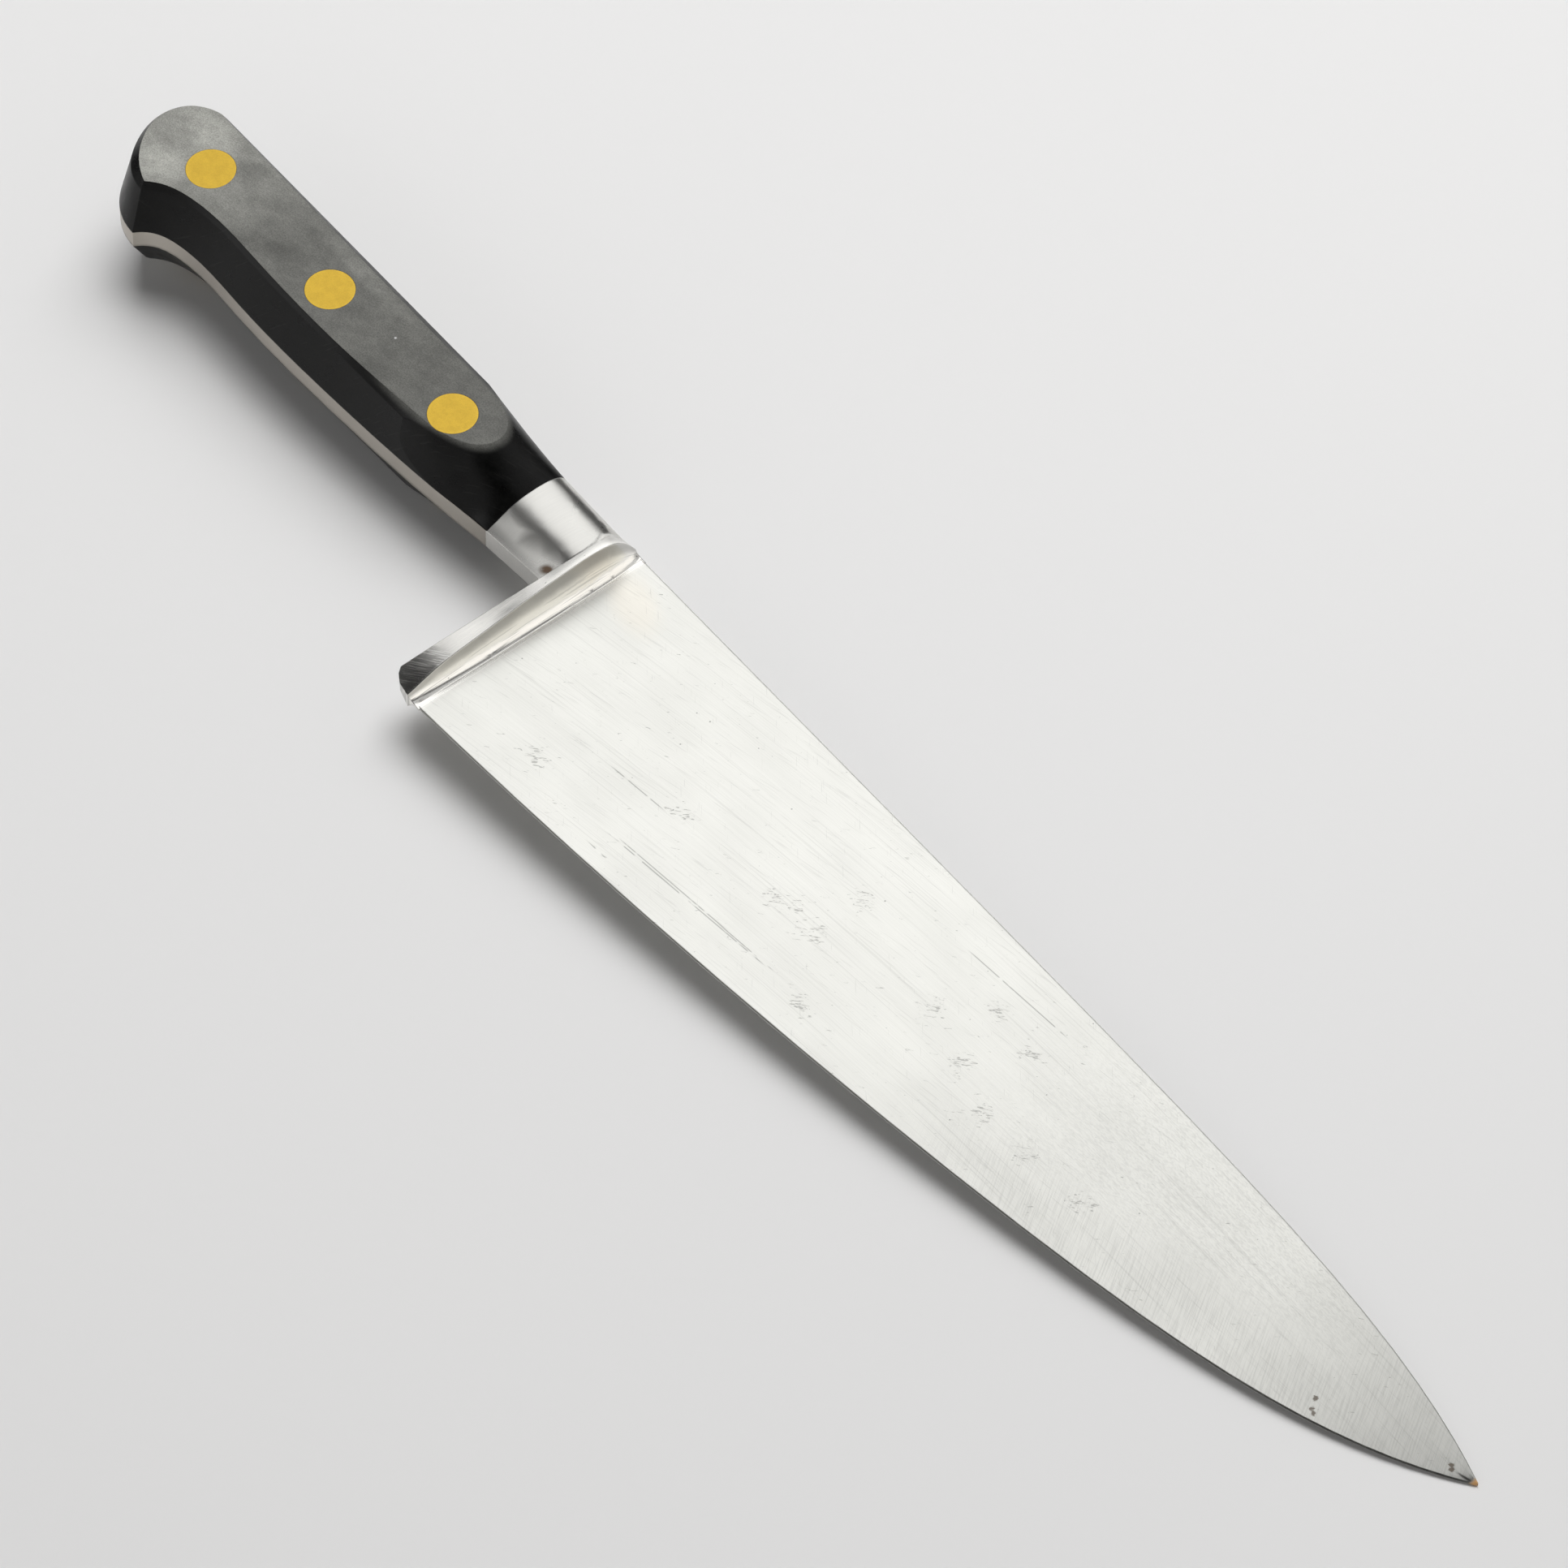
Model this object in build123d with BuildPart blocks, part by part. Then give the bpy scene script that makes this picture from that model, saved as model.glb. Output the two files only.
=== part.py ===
from build123d import *
import os

# French-pattern chef knife, millimetres. The origin is on the knife's mid-plane at the heel, where the
# front of the bolster meets the blade, level with the row of rivets. +X runs to the tip, +Y to the
# spine and +Z out of the right-hand face. The two faces of the knife mirror each other about z = 0.

# ---- driving dimensions -------------------------------------------------------------------------
BLADE_LENGTH = 253.2  # heel to tip
SPINE_Y = 11.1  # height of the spine over the rivet line
SPINE_DROP = 10.3  # how far the spine comes down to the tip
HEEL_Y = -41.8  # cutting edge at the heel
SPINE_THICK_HEEL = 4.4
SPINE_THICK_TIP = 0.9
SHOULDER_THICK = 0.35  # blade thickness where the sharpened bevel starts
BEVEL_WIDTH = 0.35
EDGE_THICK = 0.08
SPINE_BREAK = 0.35  # width of the broken corners along the spine

JOIN_X = -22.15  # plane where the scales butt against the bolster
GUARD_REAR_X = -7.7
GUARD_CREST_X = -1.2
GUARD_FRONT_X = 1.9

TANG_THICK_FRONT = 4.8
TANG_THICK_BUTT = 4.0
BUTT_X = -136.0
HANDLE_THICK = 23.0
SHOULDER_DROP = 1.4  # from the flat of the scale down to where its sides turn over

RIVET_XS = (-118.1, -80.5, -42.4)
RIVET_HEAD_R = 4.85
RIVET_HEAD_DEPTH = 2.5
RIVET_SLEEVE_R = 2.75
RIVET_PIN_R = 1.6
RIVET_END_GAP = 0.2  # the sleeve stops this short of the opposite head
RIVET_PIN_REACH = 6.0  # height of the pin's end inside the sleeve
RIVET_BORE_REACH = 7.0  # height of the end of the sleeve's blind bore

HALF_THICK = HANDLE_THICK / 2
TANG_HALF_FRONT = TANG_THICK_FRONT / 2
TANG_HALF_BUTT = TANG_THICK_BUTT / 2
SHOULDER_Z = HALF_THICK - SHOULDER_DROP
TANG_SLOPE = (TANG_HALF_FRONT - TANG_HALF_BUTT) / (JOIN_X - BUTT_X)
HEAD_SEAT = HALF_THICK - RIVET_HEAD_DEPTH

os.makedirs("parts", exist_ok=True)


# ---- blade profile ------------------------------------------------------------------------------
def spine_y(x):
    """Height of the spine: level for most of the blade, then dropping towards the tip."""
    return SPINE_Y - SPINE_DROP * max(x / BLADE_LENGTH, 0) ** 8


def edge_y(x):
    """Height of the cutting edge: a shallow rise from the heel that turns up in the belly."""
    s = max(x / BLADE_LENGTH, 0)
    return HEEL_Y + 8.9 * s + 20.6 * s**2 + 13.2 * s**10


def spine_half(x):
    """Half the spine's thickness, which tapers from heel to tip."""
    return (SPINE_THICK_HEEL + (SPINE_THICK_TIP - SPINE_THICK_HEEL) * max(x / BLADE_LENGTH, 0)) / 2


def face_half(y):
    """Half the blade's thickness at height y beside the bolster."""
    shoulder_y = HEEL_Y + BEVEL_WIDTH
    rise = (y - shoulder_y) / (SPINE_Y - shoulder_y)
    return (SHOULDER_THICK + (SPINE_THICK_HEEL - SHOULDER_THICK) * rise) / 2


# ---- handle outlines ----------------------------------------------------------------------------
# The handle narrows from the tang out to the flat of the scale, with a bevelled shoulder between. Each
# outline has the same runs, spine, butt, horn corner, belly and front, so that they pair up in a loft.
TANG_OUTLINE = {
    "spine": ((JOIN_X, 11.0), (-125.5, 11.0)),
    "butt": ((-129.6, 10.7), (-133.4, 8.8), (-136.5, 1.5), (-134.6, -7.0), (-129.4, -13.8)),
    "horn": (-121.2, -16.7),
    "belly": ((-118.4, -13.5), (-112.8, -11.6), (-95.0, -11.4), (-65.0, -11.2), (-42.0, -9.9)),
    "front": (JOIN_X, -7.8),
}
SHOULDER_OUTLINE = {
    "spine": ((JOIN_X, 10.2), (-126.8, 10.5)),
    "butt": ((-130.0, 9.7), (-133.4, 7.6), (-135.8, 1.2), (-133.6, -5.8), (-128.9, -11.0)),
    "horn": (-123.2, -12.7),
    "belly": ((-119.9, -9.9), (-114.1, -7.8), (-95.0, -7.2), (-65.0, -7.4), (-42.0, -7.0)),
    "front": (JOIN_X, -5.9),
}
FACE_OUTLINE = {
    "spine": ((JOIN_X, 8.5), (-127.8, 9.7)),
    "butt": ((-130.4, 8.6), (-133.0, 6.4), (-134.8, 0.8), (-132.7, -5.0), (-128.2, -9.5)),
    "horn": (-123.5, -11.7),
    "belly": ((-120.2, -9.1), (-114.4, -7.2), (-95.0, -6.6), (-68.0, -6.7), (-55.0, -5.9), (-42.0, -4.9)),
    "front": (JOIN_X, -3.8),
}


def outline(line):
    """A handle outline as a face, with x measured from the scale's front end."""
    spine, butt, belly = [[(x - JOIN_X, y) for x, y in line[run]] for run in ("spine", "butt", "belly")]
    horn, front = [(x - JOIN_X, y) for x, y in (line["horn"], line["front"])]
    with BuildSketch() as drawn:
        with BuildLine():
            Line(*spine)
            Spline(spine[1], *butt, horn)
            Spline(horn, *belly, front)
            Line(front, spine[0])
        make_face()
    return drawn.sketch


# Arch sections of the bolster and of the ramp that runs down to it from the flat of the scale, each
# from the belly side over the crown to the spine side, as (y, z).
ARCH_COLLAR = ((-7.8, 2.4), (-5.2, 3.6), (-1.6, 5.3), (3.6, 6.1), (8.4, 5.5), (10.4, 4.1), (11.0, 2.4))
ARCH_GUARD = ((-6.6, 2.4), (-4.6, 3.6), (-1.4, 5.3), (3.6, 6.0), (7.9, 5.2), (10.1, 3.7), (10.9, 2.4))
ARCH_TONGUE = ((-8.9, 2.3), (-6.6, 5.6), (-2.5, 9.8), (2.8, 11.5), (6.6, 10.6), (9.8, 7.4), (11.1, 2.3))
ARCH_RAMP = ((-10.2, 2.3), (-7.6, 7.0), (-5.0, 11.5), (2.8, 17.5), (9.4, 11.5), (10.8, 7.0), (11.2, 2.3))
ARCH_REAR = ((-11.4, 2.2), (-9.4, 7.0), (-7.4, 13.0), (2.8, 22.0), (10.6, 13.0), (11.1, 7.0), (11.3, 2.2))
REAR_X = -54.4
RAMP_SECTIONS = ((REAR_X, ARCH_REAR), (-42.4, ARCH_RAMP), (-32.2, ARCH_TONGUE), (JOIN_X, ARCH_COLLAR))


def across(x):
    """The plane square to the knife's length at x, with sketch axes Y and Z."""
    return Plane(origin=(x, 0, 0), x_dir=(0, 1, 0), z_dir=(1, 0, 0))


def arch(points):
    """An arch section as a face that reaches down to the knife's mid-plane."""
    with BuildSketch() as drawn:
        with BuildLine():
            Spline(*points)
            Polyline(points[-1], (points[-1][0], 0), (points[0][0], 0), points[0])
        make_face()
    return drawn.sketch


def full_arch(points):
    """An arch section and its mirror image, as one face with flats along belly and spine."""
    below = [(y, -z) for y, z in points]
    with BuildSketch() as drawn:
        with BuildLine():
            Spline(*points)
            Line(points[-1], below[-1])
            Spline(*below)
            Line(below[0], points[0])
        make_face()
    return drawn.sketch


# ---- forged blank: blade, bolster with finger guard, and full tang -----------------------------------
BLADE_REAR_X = -3.0  # the blade runs this far into the guard
STATION_PITCH = 12
BLADE_STATIONS = [BLADE_REAR_X + STATION_PITCH * i for i in range(20)]
TIP_STATIONS = [235, 242, 248, 252.6]

with BuildPart() as blade:
    for x in BLADE_STATIONS + TIP_STATIONS:
        top = spine_y(x)
        low = edge_y(x)
        half = spine_half(x)
        bevel = min(BEVEL_WIDTH, (top - low) / 4)  # the bevel and the broken corners shrink at the tip
        corner = min(SPINE_BREAK, half / 2)
        with BuildSketch(across(x)):
            right = [
                (low, EDGE_THICK / 2),
                (low + bevel, SHOULDER_THICK / 2),
                (top - corner, half),
                (top, half - corner),
            ]
            left = [(y, -z) for y, z in reversed(right)]
            with BuildLine():
                Polyline(*right, *left, close=True)
            make_face()
    loft()

# The guard's crest is highest beside the handle and runs down to the heel and up to the spine.
GUARD_CREST = (
    (-43.0, 1.6),
    (-37.2, 3.6),
    (-30.0, 5.4),
    (-19.8, 7.0),
    (-8.6, 8.6),
    (2.5, 9.4),
    (6.2, 8.5),
    (8.8, 6.5),
    (11.3, 2.7),
)
GUARD_BACK_HALF = 1.0  # half the thickness of the guard's back at the heel
GUARD_BACK_RUN = 8.87  # the strip behind the crest, were the crest level with the mid-plane
GUARD_BACK_TAPER = 0.711  # and what it loses for each millimetre of the crest's height
GUARD_BACK_FALL = 0.36  # how steeply that strip falls away from the crest
GUARD_SINK = 0.15  # the hollow's front edge runs out this far inside the blade face
HOLLOW_STEEP = (0.5, 0.25)  # the hollow drops steeply off the crest: run from it, and share of its rise
HOLLOW_FLAT = (1.2, 0.02)  # and then runs out flat on the blade
FLARE_R = 2.0  # blend from the bolster's collar up to the guard
FLARE_START = 0.5  # every blended edge lies at least this far in front of the guard's rear edge
FLARE_SPAN = 1.0  # and runs farther than this up or down the guard
HEEL_CUT = (
    (-9.5, -36.5),
    (-7.9, -38.6),
    (-6.9, -39.9),
    (-4.7, -41.3),
    (-1.2, -42.2),
    (0, -41.9),
    (3, -41.9),
)
GUARD_TOP_END_X = 2.5
CLEAR_Y = 50  # above and below everything

with BuildPart() as bolster:
    for y, crest in GUARD_CREST:
        face = max(face_half(y) - GUARD_SINK, GUARD_SINK)
        rise = crest - face
        run = min(GUARD_BACK_RUN - GUARD_BACK_TAPER * crest, GUARD_CREST_X - GUARD_REAR_X)
        back_x = GUARD_CREST_X - run
        back_half = max(crest - GUARD_BACK_FALL * run, GUARD_BACK_HALF)
        with BuildSketch(Plane(origin=(0, y, 0), x_dir=(1, 0, 0), z_dir=(0, -1, 0))):
            steep = (GUARD_CREST_X + HOLLOW_STEEP[0], face + HOLLOW_STEEP[1] * rise)
            flat = (GUARD_CREST_X + HOLLOW_FLAT[0], face + HOLLOW_FLAT[1] * rise)
            with BuildLine():
                Polyline(
                    (GUARD_CREST_X, -crest),
                    (back_x, -back_half),
                    (back_x, back_half),
                    (GUARD_CREST_X, crest),
                )
                Bezier((GUARD_CREST_X, crest), steep, flat, (GUARD_FRONT_X, face))
                Line((GUARD_FRONT_X, face), (GUARD_FRONT_X, -face))
                Bezier(
                    (GUARD_FRONT_X, -face),
                    (flat[0], -flat[1]),
                    (steep[0], -steep[1]),
                    (GUARD_CREST_X, -crest),
                )
            make_face()
    loft()
    with BuildSketch(across(JOIN_X)):
        add(full_arch(ARCH_COLLAR))
    with BuildSketch(across(GUARD_CREST_X)):
        add(full_arch(ARCH_GUARD))
    loft()
    flare = [
        edge
        for edge in bolster.edges()
        if edge.bounding_box().min.X > GUARD_REAR_X + FLARE_START
        and edge.bounding_box().max.X < GUARD_CREST_X
        and edge.bounding_box().size.Y > FLARE_SPAN
    ]
    fillet(flare, FLARE_R)

WEDGE_END_X = BUTT_X - 10  # past the butt

with BuildPart() as tang:
    with BuildSketch(Plane((JOIN_X, 0, 0))):
        add(outline(TANG_OUTLINE))
    extrude(amount=TANG_THICK_FRONT, both=True)
    with BuildSketch(Plane.XZ):
        end_half = TANG_HALF_FRONT + TANG_SLOPE * (WEDGE_END_X - JOIN_X)
        with BuildLine():
            Polyline(
                (JOIN_X, TANG_HALF_FRONT),
                (JOIN_X, -TANG_HALF_FRONT),
                (WEDGE_END_X, -end_half),
                (WEDGE_END_X, end_half),
                close=True,
            )
        make_face()
    extrude(amount=CLEAR_Y, both=True, mode=Mode.INTERSECT)

with BuildPart() as forged_blank:
    add(blade)
    add(bolster)
    add(tang)
    # The heel's underside is ground in facets from the guard's rear edge to the start of the edge.
    with BuildSketch(Plane.XY):
        with BuildLine():
            Polyline(*HEEL_CUT, (HEEL_CUT[-1][0], -CLEAR_Y), (HEEL_CUT[0][0], -CLEAR_Y), close=True)
        make_face()
    extrude(amount=HALF_THICK, both=True, mode=Mode.SUBTRACT)
    # The guard's top is ground level with the spine.
    with BuildSketch(Plane.XY):
        with BuildLine():
            Polyline(
                (HEEL_CUT[0][0], SPINE_Y),
                (GUARD_TOP_END_X, SPINE_Y),
                (GUARD_TOP_END_X, CLEAR_Y),
                (HEEL_CUT[0][0], CLEAR_Y),
                close=True,
            )
        make_face()
    extrude(amount=HALF_THICK, both=True, mode=Mode.SUBTRACT)
    # Three rivet holes through the tang.
    with Locations(*[(x, 0, 0) for x in RIVET_XS]):
        Hole(radius=RIVET_SLEEVE_R, depth=TANG_THICK_FRONT)

# ---- handle scales ----------------------------------------------------------------------------------
# The concave ramp in front of the flat: what has to go between the flat's front part and the bolster.
with BuildPart() as ramp_waste:
    with BuildSketch(across(REAR_X)):
        Rectangle(2 * HANDLE_THICK, 2 * HANDLE_THICK)
    extrude(amount=JOIN_X - REAR_X)
    for x, points in RAMP_SECTIONS:
        with BuildSketch(across(x)):
            add(arch(points))
    loft(mode=Mode.SUBTRACT)

# The right-hand side of the handle before it is drilled. Its inner face lies on the tapered tang.
tang_face = Plane((JOIN_X, 0, TANG_HALF_FRONT), x_dir=(1, 0, TANG_SLOPE), z_dir=(-TANG_SLOPE, 0, 1))

with BuildPart() as handle_side:
    with BuildSketch(tang_face):
        add(outline(TANG_OUTLINE))
    with BuildSketch(Plane((JOIN_X, 0, SHOULDER_Z))):
        add(outline(SHOULDER_OUTLINE))
    with BuildSketch(Plane((JOIN_X, 0, HALF_THICK))):
        add(outline(FACE_OUTLINE))
    loft(ruled=True)
    add(ramp_waste, mode=Mode.SUBTRACT)

with BuildPart() as scale_right:
    add(handle_side)
    with Locations(*[(x, 0, HALF_THICK) for x in RIVET_XS]):
        CounterBoreHole(
            radius=RIVET_SLEEVE_R,
            counter_bore_radius=RIVET_HEAD_R,
            counter_bore_depth=RIVET_HEAD_DEPTH,
            depth=HANDLE_THICK,
        )

with BuildPart() as scale_left:
    mirror(scale_right.part, about=Plane.XY)

pieces = {"forged_blank": forged_blank.part, "scale_right": scale_right.part, "scale_left": scale_left.part}

# ---- cutler's rivets ----------------------------------------------------------------------------------
# Each rivet is a headed pin pressed into a headed sleeve. The heads are ground flush with the scales.
for place, x in zip(("butt", "middle", "front"), RIVET_XS):
    with BuildPart() as pin:
        with BuildSketch(Plane((x, 0, HEAD_SEAT))):
            Circle(RIVET_HEAD_R)
        extrude(amount=RIVET_HEAD_DEPTH)
        add(handle_side, mode=Mode.INTERSECT)
        with BuildSketch(Plane((x, 0, HEAD_SEAT))):
            Circle(RIVET_PIN_R)
        extrude(amount=-HEAD_SEAT - RIVET_PIN_REACH)
    with BuildPart() as sleeve:
        with BuildSketch(Plane((x, 0, HEAD_SEAT))):
            Circle(RIVET_HEAD_R)
        extrude(amount=RIVET_HEAD_DEPTH)
        add(handle_side, mode=Mode.INTERSECT)
        with BuildSketch(Plane((x, 0, HEAD_SEAT))):
            Circle(RIVET_SLEEVE_R)
        extrude(amount=-2 * HEAD_SEAT + RIVET_END_GAP)
        with BuildSketch(Plane((x, 0, -HEAD_SEAT + RIVET_END_GAP))):
            Circle(RIVET_PIN_R)
        extrude(amount=HEAD_SEAT + RIVET_BORE_REACH, mode=Mode.SUBTRACT)
    pieces[f"{place}_rivet_pin"] = pin.part
    pieces[f"{place}_rivet_sleeve"] = sleeve.part.mirror(Plane.XY)

for name, piece in pieces.items():
    piece.label = name
    export_step(piece, f"parts/{name}.step")
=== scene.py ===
from math import atan2, cos, pi, radians, sin

import bpy
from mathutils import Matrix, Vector


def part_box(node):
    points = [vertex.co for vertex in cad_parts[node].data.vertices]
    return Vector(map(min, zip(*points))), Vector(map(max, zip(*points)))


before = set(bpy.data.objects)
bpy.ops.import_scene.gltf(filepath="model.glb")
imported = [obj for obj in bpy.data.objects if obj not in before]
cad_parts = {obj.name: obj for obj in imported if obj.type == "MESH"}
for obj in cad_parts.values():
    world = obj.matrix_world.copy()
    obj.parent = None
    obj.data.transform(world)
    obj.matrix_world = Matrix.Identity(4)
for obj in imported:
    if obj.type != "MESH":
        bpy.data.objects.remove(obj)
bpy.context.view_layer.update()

# French-pattern chef knife. The frame is the CAD model's: +X to the tip, +Y to the spine, +Z out of the
# right-hand face, origin at the heel on the mid-plane. Lengths in the scene are metres. The finishes
# read object coordinates scaled to millimetres, so sizes inside a material are in millimetres.
MM = 0.001
LAYER = 4.0  # through the thickness, marks change over this distance
SEED_STEPS = (7.3, 3.1, 5.7)  # how far one step of a pattern's seed moves it along X, Y and Z
SCRATCH_FADE = 3  # a scratch fades in and out over this length
CORNER_SAMPLES = 8
PICTURE = 1932  # pixels along each side of the picture


# ---- camera ---------------------------------------------------------------------------------------
CAMERA_AIM = Vector((56.9, 0.4, 0)) * MM  # on the mid-plane, beside the middle of the blade
CAMERA_DISTANCE = 2.098
CAMERA_HEADING = radians(51.72)  # from the knife's axis to the picture's horizontal
CAMERA_ELEVATION = radians(53.2)
SENSOR = 36.0
FOCAL_PIXELS = 14100


def add_camera():
    """A long lens looking down across the knife from beyond its cutting edge."""
    data = bpy.data.cameras.new("camera")
    data.sensor_width = SENSOR
    data.lens = SENSOR * FOCAL_PIXELS / PICTURE
    data.clip_end = 20
    camera = bpy.data.objects.new("camera", data)
    bpy.context.scene.collection.objects.link(camera)
    camera.rotation_euler = (radians(90) - CAMERA_ELEVATION, 0, CAMERA_HEADING)
    level = cos(CAMERA_ELEVATION) * CAMERA_DISTANCE
    away = Vector((sin(CAMERA_HEADING), -cos(CAMERA_HEADING), 0)) * level
    camera.location = CAMERA_AIM + away + Vector((0, 0, sin(CAMERA_ELEVATION) * CAMERA_DISTANCE))
    bpy.context.scene.camera = camera


# ---- material graphs --------------------------------------------------------------------------------
class Nodes:
    """A node tree, with short calls for the nodes that the finishes and the room share."""

    def __init__(self, tree):
        self.tree = tree

    def node(self, kind, **settings):
        made = self.tree.nodes.new(kind)
        for name, value in settings.items():
            setattr(made, name, value)
        return made

    def feed(self, socket, value):
        """Links a node's output to a socket, or sets the socket to a constant."""
        if isinstance(value, bpy.types.NodeSocket):
            self.tree.links.new(value, socket)
        else:
            socket.default_value = value

    def split(self, vector):
        made = self.node("ShaderNodeSeparateXYZ")
        self.feed(made.inputs[0], vector)
        return made.outputs[0], made.outputs[1], made.outputs[2]

    def join(self, x, y, z):
        made = self.node("ShaderNodeCombineXYZ")
        for socket, value in zip(made.inputs, (x, y, z)):
            self.feed(socket, value)
        return made.outputs[0]

    def vector(self, operation, a, b):
        made = self.node("ShaderNodeVectorMath", operation=operation)
        self.feed(made.inputs[0], a)
        self.feed(made.inputs["Scale"] if operation == "SCALE" else made.inputs[1], b)
        return made.outputs["Value"] if operation in ("LENGTH", "DISTANCE") else made.outputs[0]

    def math(self, operation, *values):
        made = self.node("ShaderNodeMath", operation=operation)
        for socket, value in zip(made.inputs, values):
            self.feed(socket, value)
        return made.outputs[0]

    def add(self, a, b):
        return self.math("ADD", a, b)

    def times(self, a, b):
        return self.math("MULTIPLY", a, b)

    def ramp(self, value, start, end, low=0.0, high=1.0):
        """A smooth step from low, where value is start, to high, where it is end."""
        made = self.node("ShaderNodeMapRange", interpolation_type="SMOOTHSTEP", clamp=True)
        for socket, number in zip(made.inputs, (value, start, end, low, high)):
            self.feed(socket, number)
        return made.outputs[0]


class Graph(Nodes):
    """A material's node tree, with its coordinates in millimetres."""

    def __init__(self, name):
        self.material = bpy.data.materials.new(name)
        self.material.use_nodes = True
        super().__init__(self.material.node_tree)
        self.shader = self.tree.nodes["Principled BSDF"]
        place = self.node("ShaderNodeTexCoord").outputs["Object"]
        self.place = self.vector("SCALE", place, 1 / MM)
        self.x, self.y, self.z = self.split(self.place)

    def mix(self, share, a, b):
        """Colour a where share is 0 and colour b where it is 1."""
        made = self.node("ShaderNodeMix", data_type="RGBA")
        self.feed(made.inputs["Factor"], share)
        for socket, colour in zip([s for s in made.inputs if s.type == "RGBA"], (a, b)):
            self.feed(socket, colour)
        return [s for s in made.outputs if s.type == "RGBA"][0]

    def shade(self, colour, amount):
        """A colour multiplied by a number."""
        return self.vector("SCALE", colour, amount)

    def toned(self, tone, mask, change):
        """Tone raised, or lowered where change is below 0, by this share of itself on the mask."""
        return self.times(tone, self.math("MULTIPLY_ADD", mask, change, 1.0))

    def seeded(self, place, seed):
        """Coordinates moved, so that each seed reads another part of a pattern."""
        return self.vector("ADD", place, [seed * step for step in SEED_STEPS])

    def noise(self, place, sizes, seed=0.0, detail=2.0, roughness=0.5, distortion=0.0):
        """Noise from 0 to 1 whose features have these sizes along X, Y and Z."""
        scaled = self.vector("DIVIDE", place, sizes)
        made = self.node("ShaderNodeTexNoise", noise_dimensions="3D")
        self.feed(made.inputs["Vector"], self.seeded(scaled, seed))
        inputs = {"Scale": 1.0, "Detail": detail, "Roughness": roughness, "Distortion": distortion}
        for name, value in inputs.items():
            self.feed(made.inputs[name], value)
        return made.outputs[0]

    def cells(self, place, spacing, seed):
        """Distance to the nearest of a scatter of points, in shares of their spacing, and its colour."""
        scaled = self.vector("SCALE", place, 1 / spacing)
        made = self.node("ShaderNodeTexVoronoi", voronoi_dimensions="3D")
        self.feed(made.inputs["Vector"], self.seeded(scaled, seed))
        self.feed(made.inputs["Scale"], 1.0)
        return made.outputs["Distance"], made.outputs["Color"]

    def turned(self, place, angle):
        """Coordinates turned about Z, so that what runs along their X runs at this angle on the knife."""
        made = self.node("ShaderNodeVectorRotate", rotation_type="Z_AXIS")
        self.feed(made.inputs["Vector"], place)
        self.feed(made.inputs["Angle"], -angle)
        return made.outputs[0]

    def streaks(self, place, length, width, seed, start, end, angle=0.0):
        """Scratches of about this length and width: 1 on them and 0 between."""
        noise = self.noise(self.turned(place, angle), (length, width, LAYER), seed=seed, detail=1)
        return self.ramp(noise, start, end)

    def specks(self, place, spacing, radius, share, seed):
        """Small round marks of uneven size, in this share of the cells of this spacing."""
        distance, colour = self.cells(place, spacing, seed)
        chance, size, _ = self.split(colour)
        kept = self.math("LESS_THAN", chance, share)
        reach = self.times(radius, self.math("MULTIPLY_ADD", size, 0.8, 0.4))
        return self.times(self.ramp(self.math("DIVIDE", distance, reach), 1.0, 0.6), kept)

    def spot(self, centre, reach, angle=0.0):
        """A soft patch on both faces around centre (x, y), with reach as its half-sizes."""
        flat = self.join(self.add(self.x, -centre[0]), self.add(self.y, -centre[1]), 0.0)
        scaled = self.vector("DIVIDE", self.turned(flat, angle), (reach[0], reach[1], 1))
        return self.ramp(self.vector("LENGTH", scaled, (0, 0, 0)), 1.0, 0.3)

    def nearest(self, points, wander):
        """Distance from the nearest of these (x, y) points, over ragged outlines."""
        shift = self.add(self.noise(self.place, (1.1, 0.8, LAYER), seed=21, detail=3), -0.5)
        flat = self.join(self.math("MULTIPLY_ADD", shift, wander, self.x), self.y, 0.0)
        distances = [self.vector("DISTANCE", flat, (x, y, 0)) for x, y in points]
        least = distances[0]
        for distance in distances[1:]:
            least = self.math("MINIMUM", least, distance)
        return least

    def scratch(self, start, end, width):
        """One straight scratch between two (x, y) points, broken here and there."""
        run = Vector(end) - Vector(start)
        flat = self.join(self.add(self.x, -start[0]), self.add(self.y, -start[1]), 0.0)
        along, across, _ = self.split(self.turned(flat, atan2(run.y, run.x)))
        beside = self.ramp(self.math("ABSOLUTE", across), width, width * 0.3)
        begins = self.ramp(along, 0, SCRATCH_FADE)
        ends = self.ramp(along, run.length, run.length - SCRATCH_FADE)
        fade = self.times(begins, ends)
        broken = self.ramp(self.noise(self.place, (2.5, 2.5, LAYER), seed=start[0], detail=1), 0.36, 0.48)
        return self.times(self.times(beside, fade), broken)

    def bump(self, height, depth, normal):
        """This surface normal, tilted as if the surface stood up by height times depth."""
        made = self.node("ShaderNodeBump")
        self.feed(made.inputs["Strength"], 1.0)
        self.feed(made.inputs["Distance"], depth * MM)
        self.feed(made.inputs["Height"], height)
        self.feed(made.inputs["Normal"], normal)
        return made.outputs[0]

    def rounded(self, radius):
        """A surface normal that rounds the sharp corners off."""
        made = self.node("ShaderNodeBevel", samples=CORNER_SAMPLES)
        self.feed(made.inputs["Radius"], radius * MM)
        return made.outputs[0]

    def finish(self, **sockets):
        """Feeds the shader's sockets, with underscores for the spaces in their names."""
        for name, value in sockets.items():
            self.feed(self.shader.inputs[name.replace("_", " ")], value)
        return self.material


def grey(value, warm=0.0):
    """A grey, redder and less blue by warm."""
    return (value * (1 + warm), value, value * (1 - warm), 1)


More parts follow.
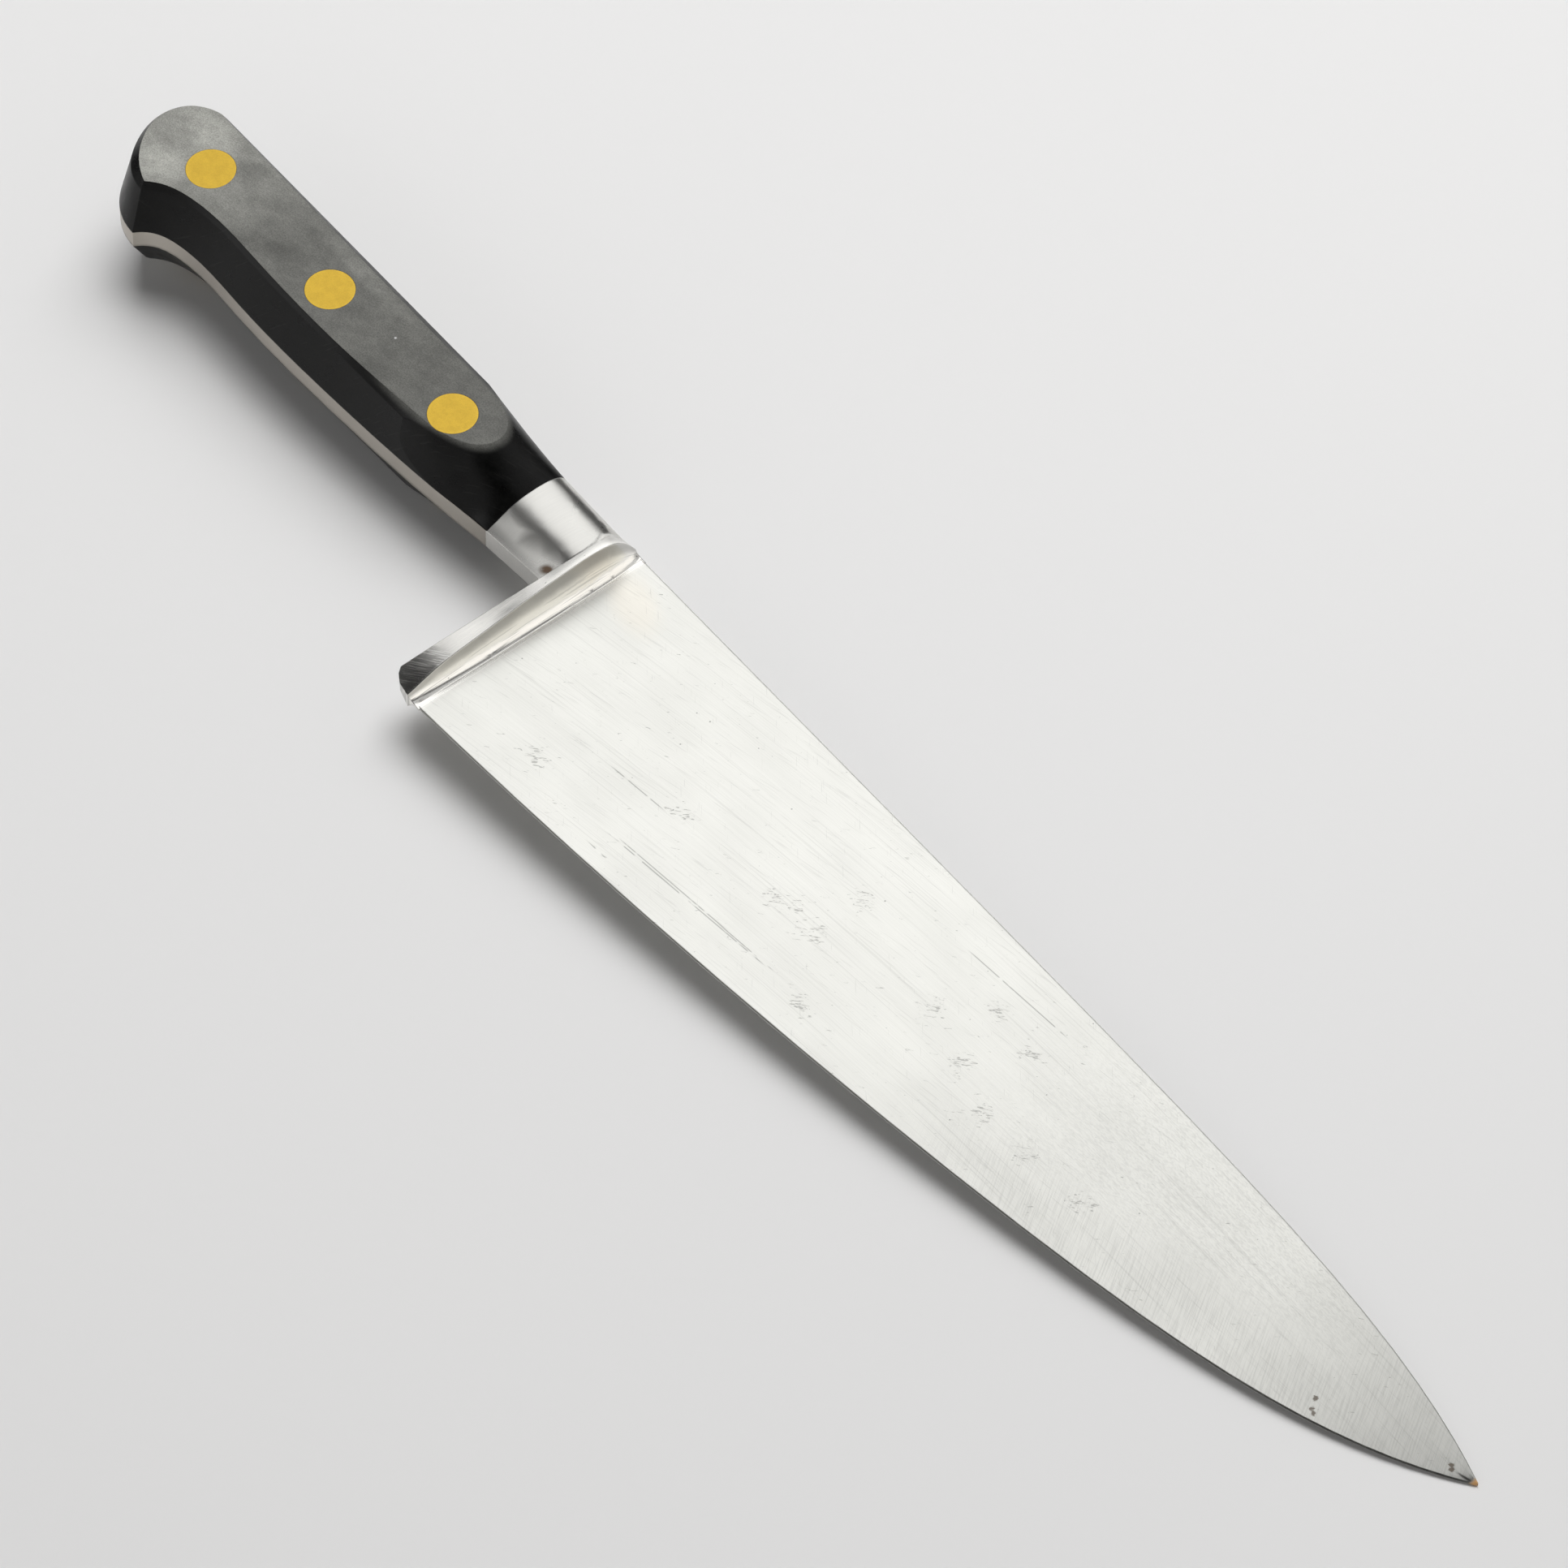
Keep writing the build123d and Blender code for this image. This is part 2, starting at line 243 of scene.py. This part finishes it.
# ---- finishes ---------------------------------------------------------------------------------------
JOIN_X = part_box("scale_right")[1].x / MM  # where the scales butt against the bolster
HOLLOW_X = 1.2  # the guard's hollow has run out on the blade here
TIP_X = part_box("forged_blank")[1].x / MM
FLAT_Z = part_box("scale_right")[1].z / MM  # how high the handle's flats stand over the mid-plane

# The grinding lines leave the heel at this slope to the rivet line and bend down towards the tip.
SWEEP_START = 0.16
SWEEP_BEND = 0.0009
CROSS_GRIND = 2.15  # the tip and the edge's side were ground across, at this angle to the rivet line


# Where the photographed knife is marked, as (x, y). These places were read off the photo, and most are
# as a program turned those readings into millimetres.
DENTS = (
    (81.5, -15.4), (87.2, -17.1), (76.5, -17.2), (113.6, -9.9), (50.9, -18.6), (86.9, -5.6),
    (137.2, -17.7), (126.6, -13.8), (163.1, -16.2), (133.3, -2.3), (148.6, -17.5), (97.9, -28.4),
    (122.0, -1.6), (24.0, -31.7),
)
RUST_PITS = ((246.8, -0.3), (247.6, -0.8), (222.5, -11.8), (223.4, -12.3), (221.2, -10.0))
SCRATCHES = (
    ((45.3, -32.0), (88.0, -27.9)), ((47.5, -31.2), (78.0, -28.4)), ((44.2, -36.0), (53.3, -35.6)),
    ((33.7, -22.4), (49.5, -20.8)), ((107.1, 2.7), (134.7, 4.6)), ((73.6, -28.9), (90.0, -27.4)),
)
FLECK = (-63.5, 2.6)  # a pale fleck on the handle
SCRATCH_WIDTH = 0.17

GUARD_STEEL = (0.99, 0.975, 0.935, 1)
BLADE_STEEL = (0.885, 0.883, 0.838, 1)
COLLAR_STEEL = (0.74, 0.732, 0.70, 1)
TANG_STEEL = (0.60, 0.56, 0.50, 1)
WARM_FILM = (0.93, 0.885, 0.79)
DARK_RUST = (0.085, 0.040, 0.012, 1)
PALE_RUST = (0.60, 0.33, 0.12, 1)
METAL_RELIEF = 0.006
STEEL_CORNER = 0.25  # radius of the steel's softened corners


def blade_marks(g):
    """What use has left on the blade: the steel's tone, its relief and where it has rusted."""
    bend = g.math("MULTIPLY_ADD", g.x, -SWEEP_BEND / 2, SWEEP_START)
    swept = g.join(g.x, g.math("SUBTRACT", g.y, g.times(g.x, bend)), g.z)
    grain = g.noise(swept, (18, 0.22, LAYER), seed=1, detail=3)
    patches = g.ramp(g.noise(g.place, (26, 12, LAYER), seed=8, detail=2), 0.40, 0.62)
    lines = g.times(g.streaks(swept, 60, 0.32, 2, 0.60, 0.70), g.ramp(patches, 0, 1, 0.35, 1.0))
    short_lines = g.streaks(swept, 9, 0.30, 3, 0.66, 0.72, 0.10)
    cross_lines = g.streaks(g.place, 5, 0.22, 4, 0.72, 0.76, -0.65)

    crumbs = g.noise(g.turned(g.place, 0.7), (1.7, 0.32, LAYER), seed=12, detail=2, distortion=0.9)
    near = g.ramp(g.nearest(DENTS, 9.0), 4.2, 0.0, 0.0, 0.17)
    dents = g.ramp(g.add(crumbs, near), 0.71, 0.76)
    specks = g.specks(g.place, 3.4, 0.055, 0.42, 6)
    rust_pits = g.ramp(g.add(g.nearest(RUST_PITS, 1.2), g.times(crumbs, 0.8)), 1.0, 0.72)
    scratches = 0.0
    for start, end in SCRATCHES:
        scratches = g.math("MAXIMUM", g.scratch(start, end, SCRATCH_WIDTH), scratches)

    # Towards the tip the middle is coarse, and the edge's side is smooth but for cross lines.
    thickness = g.math("ABSOLUTE", g.z)
    toward_edge = g.ramp(thickness, 0.62, 0.34)
    tip = g.ramp(g.x, 206, 228)
    past_middle = g.ramp(g.x, 120, 165)
    smooth = g.times(g.math("MAXIMUM", toward_edge, tip), past_middle)
    cross_grain = g.noise(g.turned(g.place, CROSS_GRIND), (6, 0.28, LAYER), seed=14, detail=2)
    coarse = g.times(past_middle, g.math("SUBTRACT", 1.0, smooth))
    worms = g.noise(swept, (1.0, 0.30, LAYER), seed=15, detail=2, distortion=0.8)
    edge_line = g.ramp(thickness, 0.17, 0.12)

    tone = g.ramp(grain, 0.3, 0.7, 0.955, 1.0)
    for mask, share in (
        (lines, 0.09), (short_lines, 0.09), (cross_lines, 0.12), (dents, 0.36), (specks, 0.45),
        (rust_pits, 0.72), (scratches, 0.40), (edge_line, 0.45),
        (g.times(smooth, g.ramp(cross_grain, 0.40, 0.68)), 0.12),
        (g.times(coarse, g.ramp(worms, 0.40, 0.66)), 0.11),
        (g.times(toward_edge, g.ramp(g.x, 60, 160)), 0.05),
        (g.ramp(g.x, 90, 200), 0.13), (g.ramp(g.x, 190, TIP_X), 0.34),
    ):
        tone = g.toned(tone, mask, -share)
    sunk = g.add(g.add(g.times(lines, 0.25), g.times(scratches, 0.7)), g.add(dents, rust_pits))
    raised = g.add(g.times(grain, 0.25), g.times(g.times(coarse, worms), 0.6))
    return tone, g.math("SUBTRACT", raised, sunk), rust_pits


def guard_marks(g):
    """Painted shade under the guard's crest and on its heel, scuffs on its heel and the brushing of guard
    and collar.
    """
    behind = g.ramp(g.x, -0.5, -1.0)
    under_crest = g.times(behind, g.ramp(g.x, -1.35, -1.1))
    brushed = g.noise(g.turned(g.place, 1.5), (9, 0.25, LAYER), seed=31, detail=3)
    hollow_lines = g.streaks(g.place, 14, 0.16, 32, 0.58, 0.68, 1.57)
    heel = g.times(g.ramp(g.y, -30, -36), g.ramp(g.x, -1.2, -2.0))
    scuffs = g.streaks(g.place, 7, 0.22, 33, 0.50, 0.62, 0.35)
    pits = g.times(g.specks(g.place, 1.9, 0.10, 0.35, 34), g.ramp(g.x, -5.0, -4.0))
    tone = g.ramp(brushed, 0.3, 0.7, 0.965, 1.0)
    # under_crest and heel are painted shade; hollow_lines and pits are marks in the steel.
    for mask, share in (
        (under_crest, 0.42), (g.times(hollow_lines, g.ramp(g.x, -1.0, -0.4)), 0.25),
        (heel, 0.55), (pits, 0.4),
    ):
        tone = g.toned(tone, mask, -share)
    tone = g.toned(tone, g.times(scuffs, heel), 0.9)
    sunk = g.add(pits, g.times(hollow_lines, g.ramp(g.x, -1.2, -0.8)))
    return tone, g.math("SUBTRACT", g.times(brushed, 0.3), sunk)


def steel_finish():
    g = Graph("worked_steel")
    on_blade = g.ramp(g.x, HOLLOW_X, HOLLOW_X + 1.5)
    on_collar = g.times(g.ramp(g.x, -1.6, -3.2), g.ramp(g.y, -10.0, -6.0))
    on_tang = g.ramp(g.x, JOIN_X, JOIN_X - 0.5)
    blade_tone, blade_height, rust_pits = blade_marks(g)
    guard_tone, guard_height = guard_marks(g)
    tang_grain = g.noise(g.turned(g.place, 0.06), (12, 0.4, 0.4), seed=41, detail=3)

    steel = g.mix(on_blade, GUARD_STEEL, BLADE_STEEL)
    steel = g.mix(on_collar, steel, COLLAR_STEEL)
    steel = g.mix(on_tang, steel, TANG_STEEL)
    # The tone and the height change over from the tang to the guard and from the guard to the blade.
    behind = g.mix(on_tang, g.join(guard_tone, guard_height, 0), g.join(tang_grain, tang_grain, 0))
    tone, height, _ = g.split(g.mix(on_blade, behind, g.join(blade_tone, blade_height, 0)))
    tone = g.math("MAXIMUM", tone, g.times(on_tang, 0.8))
    # Painted shade darkens the lower edge of the tang's strip and of the collar's flank, standing in for
    # the knife's shadow mirrored there.
    strip_painted_shade = g.times(on_tang, g.ramp(g.z, -1.2, -2.3))
    flank_painted_shade = g.times(g.times(on_collar, g.ramp(g.x, -6.0, -8.0)), g.ramp(g.y, -5.0, -7.4))
    tone = g.toned(tone, g.math("MAXIMUM", strip_painted_shade, flank_painted_shade), -0.4)
    colour = g.shade(steel, tone)

    warm_film = g.times(g.spot((8.0, 3.5), (11.0, 6.0), -0.3), 0.6)
    colour = g.mix(warm_film, colour, g.shade(WARM_FILM, tone))
    stain = g.ramp(g.noise(g.place, (0.9, 0.9, LAYER), seed=42, detail=3), 0.25, 0.5)
    corner = g.times(g.spot((-7.3, -5.0), (2.1, 1.2), 0.5), stain)
    tip_rust = g.times(g.ramp(g.x, TIP_X - 1.4, TIP_X - 0.4), stain)
    rust = g.math("MAXIMUM", corner, g.math("MAXIMUM", tip_rust, g.times(rust_pits, 0.08)))
    rust_colour = g.mix(g.ramp(g.x, 0, TIP_X), DARK_RUST, PALE_RUST)
    colour = g.mix(g.times(rust, 0.95), colour, rust_colour)

    smudge = g.noise(g.place, (16, 9, LAYER), seed=43, detail=3)
    rough = g.add(g.ramp(on_blade, 0, 1, 0.20, 0.33), g.times(on_tang, 0.16))
    rough = g.add(rough, g.times(on_collar, 0.08))
    rough = g.add(rough, g.ramp(smudge, 0.3, 0.7, -0.015, 0.02))
    rough = g.add(rough, g.times(rust, 0.3))
    normal = g.bump(height, METAL_RELIEF, g.rounded(STEEL_CORNER))
    bare = g.math("SUBTRACT", 1.0, rust)
    return g.finish(Base_Color=colour, Metallic=bare, Roughness=rough, Normal=normal)


# Patches of the handle's flats that are worn paler, or darker where the change is below 0, each as
# centre, half-sizes, angle and change.
WEAR = (
    ((-126.5, -7.5), (9, 6), 0.6, 0.35),
    ((-124.0, 5.0), (10, 5), -0.3, 0.25),
    ((-78.0, 7.5), (20, 2.6), 0.0, 0.35),
    ((-98.0, -4.0), (16, 4), 0.5, -0.20),
    ((-113.0, 6.0), (6, 3), 0.8, -0.18),
    ((-60.0, -5.0), (12, 3), 0.4, -0.14),
)
# Grey of the handle's flats: black plastic worn grey, with a painted sheen on top.
PLASTIC_FLAT = (0.147, 0.147, 0.135)
PLASTIC_RELIEF = 0.012
PLASTIC_CORNER = 0.35


def scale_finish():
    g = Graph("worn_plastic")
    true_normal = g.node("ShaderNodeNewGeometry").outputs["True Normal"]
    flat = g.ramp(g.math("ABSOLUTE", g.split(true_normal)[2]), 0.95, 0.995)
    # At the front the painted sheen of the flat runs over its edge and fades down the ramp.
    height = g.math("ABSOLUTE", g.z)
    sheen_runs_over = g.times(g.ramp(height, FLAT_Z - 1.1, FLAT_Z), g.ramp(g.x, -62, -50, 0.0, 0.75))
    flat = g.math("MAXIMUM", flat, sheen_runs_over)
    mottle = g.noise(g.place, (5, 5, LAYER), seed=51, detail=6, roughness=0.68)
    smears = g.noise(g.turned(g.place, 0.5), (12, 2.2, LAYER), seed=52, detail=4)
    speckle = g.noise(g.place, (0.28, 0.28, 0.28), seed=53, detail=2, roughness=0.7)
    brushed = g.noise(g.turned(g.place, 0.03), (8, 0.3, LAYER), seed=54, detail=3)
    # Painted sheen: the flats are paler towards the butt and darker towards the front.
    tone = g.ramp(g.x, -132, -88, 1.95, 1.0)
    tone = g.times(tone, g.ramp(g.x, -92, -50, 1.0, 0.86))
    tone = g.times(tone, g.ramp(mottle, 0.25, 0.75, 0.80, 1.20))
    tone = g.times(tone, g.ramp(smears, 0.3, 0.7, 0.95, 1.06))
    tone = g.times(tone, g.ramp(speckle, 0.2, 0.8, 0.72, 1.30))
    tone = g.times(tone, g.ramp(brushed, 0.25, 0.75, 0.96, 1.04))
    for centre, reach, angle, change in WEAR:
        tone = g.toned(tone, g.spot(centre, reach, angle), change)
    face = g.shade(PLASTIC_FLAT, tone)
    fleck = g.spot(FLECK, (0.35, 0.35))
    face = g.mix(g.times(fleck, 0.8), face, grey(0.7))
    scuffs = g.streaks(g.place, 6, 0.25, 55, 0.66, 0.74, 0.5)
    ground = g.ramp(g.times(mottle, speckle), 0.12, 0.40, 0.0008, 0.004)
    end_grey = g.ramp(g.x, -131.0, -135.0, 0.0, 0.012)
    dark = g.add(g.add(ground, end_grey), g.times(scuffs, 0.006))
    side = g.join(dark, dark, g.times(dark, 0.94))
    colour = g.mix(flat, side, face)
    relief = g.add(g.times(speckle, 0.5), g.add(g.times(brushed, 0.5), g.times(scuffs, -0.5)))
    rough = g.add(g.ramp(flat, 0, 1, 0.30, 0.52), g.ramp(mottle, 0.3, 0.7, -0.04, 0.06))
    normal = g.bump(relief, PLASTIC_RELIEF, g.rounded(PLASTIC_CORNER))
    return g.finish(Base_Color=colour, Roughness=rough, Specular_IOR_Level=0.24, Normal=normal)


DARK_BRASS = (0.66, 0.43, 0.056, 1)
PALE_BRASS = (0.77, 0.52, 0.082, 1)
BRASS_CORNER = 0.15


def rivet_centres():
    """Where the rivets stand in the handle, and the radius of their heads, in millimetres."""
    boxes = [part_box(name) for name in sorted(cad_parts) if name.endswith("rivet_pin")]
    centres = [((low.x + high.x) / (2 * MM), (low.y + high.y) / (2 * MM)) for low, high in boxes]
    return centres, (boxes[0][1].x - boxes[0][0].x) / (2 * MM)


def brass_finish():
    g = Graph("rivet_brass")
    centres, radius = rivet_centres()
    mottle = g.noise(g.place, (1.3, 1.3, 1.3), seed=61, detail=4, roughness=0.65)
    speckle = g.noise(g.place, (0.25, 0.25, 0.25), seed=62, detail=2)
    brushed = g.noise(g.turned(g.place, 0.2), (5, 0.2, 1), seed=63, detail=3)
    rim = g.ramp(g.nearest(centres, 0.1), radius - 0.5, radius)
    tone = g.toned(g.ramp(speckle, 0.2, 0.8, 0.93, 1.06), rim, 0.10)
    colour = g.shade(g.mix(mottle, DARK_BRASS, PALE_BRASS), tone)
    height = g.add(g.times(brushed, 0.6), g.times(speckle, 0.4))
    rough = g.ramp(mottle, 0.3, 0.7, 0.34, 0.44)
    normal = g.bump(height, METAL_RELIEF, g.rounded(BRASS_CORNER))
    return g.finish(Base_Color=colour, Metallic=1.0, Roughness=rough, Normal=normal)


FINISHES = {"steel": steel_finish, "scales": scale_finish, "rivets": brass_finish}


def finish_of(node):
    if node == "forged_blank":
        return "steel"
    return "rivets" if "rivet" in node else "scales"


def finish_nodes():
    made = {slot: build() for slot, build in FINISHES.items()}
    for name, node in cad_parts.items():
        node.data.materials.clear()
        node.data.materials.append(made[finish_of(name)])


# ---- floor and light -------------------------------------------------------------------------------
FLOOR_HALF = 3.0
FLOOR_GAP = 0.2 * MM


def resting_points():
    """The two points that the knife lies on: the front of its left-hand scale's flat, and its tip."""
    scale_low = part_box("scale_left")[0].z
    tip = max((v.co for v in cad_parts["forged_blank"].data.vertices), key=lambda p: p.x)
    rests = [v.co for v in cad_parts["scale_left"].data.vertices if v.co.z < scale_low + 0.1 * MM]
    front = max(rests, key=lambda p: p.x)
    return front, tip


def add_floor():
    front, tip = resting_points()
    slope = (tip.z - front.z) / (tip.x - front.x)
    mesh = bpy.data.meshes.new("floor")
    far = FLOOR_HALF
    corners = [(-far, -far), (far, -far), (far, far), (-far, far)]
    height = front.z - slope * front.x - FLOOR_GAP
    mesh.from_pydata([(x, y, height + slope * x) for x, y in corners], [], [(0, 1, 2, 3)])
    floor = bpy.data.objects.new("floor", mesh)
    bpy.context.scene.collection.objects.link(floor)
    g = Graph("pale_floor")
    mesh.materials.append(g.finish(Base_Color=grey(0.80, 0.004), Roughness=0.55))


# Each light hangs in a direction from the knife: how far away it is, its size across and up, and its
# brightness as the radiance of its face. The cards only show as reflections.
LIGHTS = {
    "softbox": {"toward": (-0.38, 0.46, 0.80), "distance": 1.55, "size": (1.5, 1.3), "radiance": 1.2},
    "warm_card": {"toward": (0.85, 0.40, 0.38), "distance": 1.6, "size": (1.6, 1.3), "radiance": 0.58},
    "grey_card": {"toward": (-0.45, -0.62, 0.66), "distance": 1.6, "size": (1.0, 0.6), "radiance": 0.9},
    "top_card": {"toward": (0.25, 0.42, 0.87), "distance": 1.6, "size": (0.9, 0.9), "radiance": 0.55},
    "side_card": {"toward": (-0.92, 0.38, 0.16), "distance": 1.6, "size": (1.4, 0.8), "radiance": 1.1},
}
WARM = (1.0, 0.97, 0.92)
# These two light the floor and the plastic, and nothing mirrors them.
FLOOR_LIGHT = {"toward": (-0.25, 0.32, 0.91), "distance": 1.55, "size": (1.35, 1.25), "radiance": 3.3}
FILL = {"toward": (0.2, -0.3, 0.93), "distance": 2.2, "size": (4.0, 4.0), "radiance": 0.08}
# How bright the dark room is, and how much its pale walls add. The walls fade in or out between
# these pairs of the X, Y and Z parts of the direction toward them.
ROOM = 0.012
WALLS = 0.42
TIP_WALL = (-0.25, 0.20)
EDGE_WALL = (-0.20, -0.55)
WALL_TOP = (0.78, 0.60)


def add_light(name, toward, distance, size, radiance):
    """A rectangular light facing the knife."""
    direction = Vector(toward).normalized()
    data = bpy.data.lights.new(name, "AREA")
    data.shape = "RECTANGLE"
    data.size, data.size_y = size
    data.energy = radiance * pi * size[0] * size[1]
    light = bpy.data.objects.new(name, data)
    bpy.context.scene.collection.objects.link(light)
    light.location = CAMERA_AIM + direction * distance
    light.rotation_euler = direction.to_track_quat("Z", "Y").to_euler()
    return light


def add_walls(tree):
    """A dark room whose walls are pale in front of the knife's tip and its cutting edge."""
    g = Nodes(tree)
    x, y, z = g.split(g.node("ShaderNodeTexCoord").outputs["Generated"])
    ahead = g.math("MAXIMUM", g.ramp(x, *TIP_WALL), g.ramp(y, *EDGE_WALL))
    wall = g.times(g.times(ahead, g.ramp(z, *WALL_TOP)), WALLS)
    background = tree.nodes["Background"]
    background.inputs["Color"].default_value = grey(1.0, 0.01)
    g.feed(background.inputs["Strength"], g.add(wall, ROOM))


def add_lights():
    for name, light in LIGHTS.items():
        made = add_light(name, **light)
        made.visible_diffuse = name == "softbox"
        if name == "warm_card":
            made.data.color = WARM
    add_light("floor_light", **FLOOR_LIGHT).visible_glossy = False
    add_light("fill_light", **FILL).visible_glossy = False
    world = bpy.data.worlds.new("studio")
    bpy.context.scene.world = world
    world.use_nodes = True
    add_walls(world.node_tree)


bpy.context.scene.view_settings.view_transform = "Standard"
add_camera()
add_floor()
add_lights()
finish_nodes()
